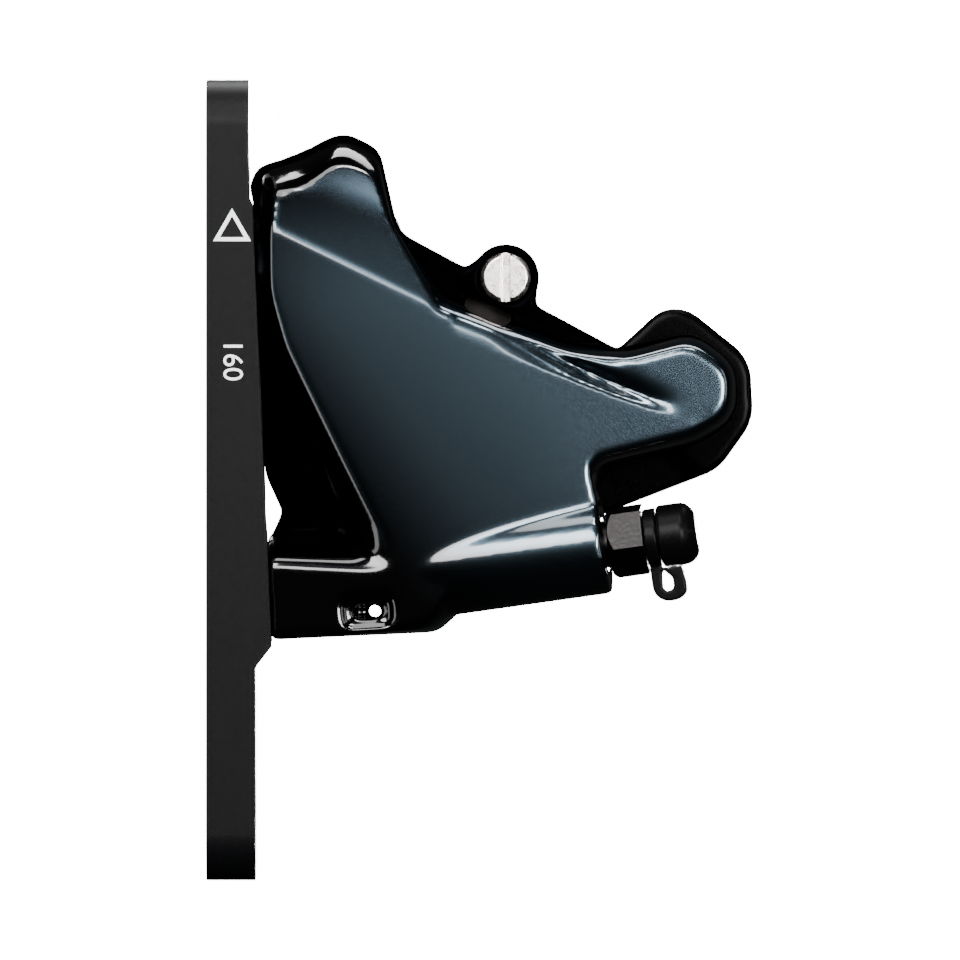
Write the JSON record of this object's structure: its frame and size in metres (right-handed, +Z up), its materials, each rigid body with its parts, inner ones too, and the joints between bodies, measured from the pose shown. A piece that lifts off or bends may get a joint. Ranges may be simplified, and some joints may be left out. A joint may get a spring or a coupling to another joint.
{
  "type": "bicycle disc brake caliper",
  "caption": "Flat-mount hydraulic disc brake caliper on its fork bracket, with opposed pistons, sprung pads on a slotted axle and a capped bleed nipple.",
  "frame": {"origin": "middle of the bracket's fork face, midway between the fork bolt slots", "axes": "+X away from the fork, +Y towards the wheel, +Z up along the fork"},
  "size_m": [0.0589, 0.0386, 0.086],
  "materials": {
    "bracket": "satin black anodised aluminium",
    "bolt": "satin steel",
    "body_front": "gloss dark blue-grey",
    "body_back": "gloss black",
    "seal": "matte black",
    "piston": "ground off-white ceramic",
    "pad_plate": "dull brownish steel",
    "lining": "matte pressed resin",
    "spring": "bright spring steel",
    "axle": "bright machined steel",
    "nipple": "dark grained steel",
    "cap": "satin black rubber"
  },
  "bodies": {
    "caliper": {"mount_bracket": "bracket", "caliper_bolts": "bolt", "body_outboard": "body_front", "body_inboard": "body_back", "body_bolts": "bolt", "transfer_seal": "seal", "piston_seal_outboard": "seal", "piston_seal_inboard": "seal", "pad_axle": "axle", "pad_axle_clip": "spring", "pad_spring": "spring"},
    "outboard_piston": {"piston_outboard": "piston"},
    "inboard_piston": {"piston_inboard": "piston"},
    "outboard_pad": {"pad_plate_outboard": "pad_plate", "pad_lining_outboard": "lining"},
    "inboard_pad": {"pad_plate_inboard": "pad_plate", "pad_lining_inboard": "lining"},
    "nipple": {"bleed_nipple": "nipple", "bleed_seal": "seal", "bleed_tether": "cap"},
    "cap": {"bleed_cap": "cap"}
  },
  "joints": [
    {"name": "outboard_piston_slide", "type": "slide", "parent": "caliper", "child": "outboard_piston", "axis": [0, 1, 0], "range_m": [0, 0.0012], "stiffness_N_per_m": 2000},
    {"name": "inboard_piston_slide", "type": "slide", "parent": "caliper", "child": "inboard_piston", "axis": [0, -1, 0], "range_m": [0, 0.0012], "stiffness_N_per_m": 2000},
    {"name": "outboard_pad_slide", "type": "slide", "parent": "caliper", "child": "outboard_pad", "axis": [0, 1, 0], "range_m": [0, 0.0012], "stiffness_N_per_m": 2000, "deforming": ["pad_spring"]},
    {"name": "inboard_pad_slide", "type": "slide", "parent": "caliper", "child": "inboard_pad", "axis": [0, -1, 0], "range_m": [0, 0.0012], "stiffness_N_per_m": 2000},
    {"name": "bleed_nipple_turn", "type": "hinge", "parent": "caliper", "child": "nipple", "pos_m": [0.04289, -0.0028, -0.0069], "axis": [0.9848, -0.1045, 0.1384], "range_deg": [0, 90]},
    {"name": "bleed_cap_pull", "type": "slide", "parent": "nipple", "child": "cap", "axis": [0.9848, -0.1045, 0.1384], "range_m": [0, 0.008], "deforming": ["bleed_tether"]}
  ],
  "couplings": [
    {"joint": "inboard_piston_slide", "follows": "outboard_piston_slide", "ratio": 1},
    {"joint": "outboard_pad_slide", "follows": "outboard_piston_slide", "ratio": 1},
    {"joint": "inboard_pad_slide", "follows": "outboard_piston_slide", "ratio": 1}
  ]
}
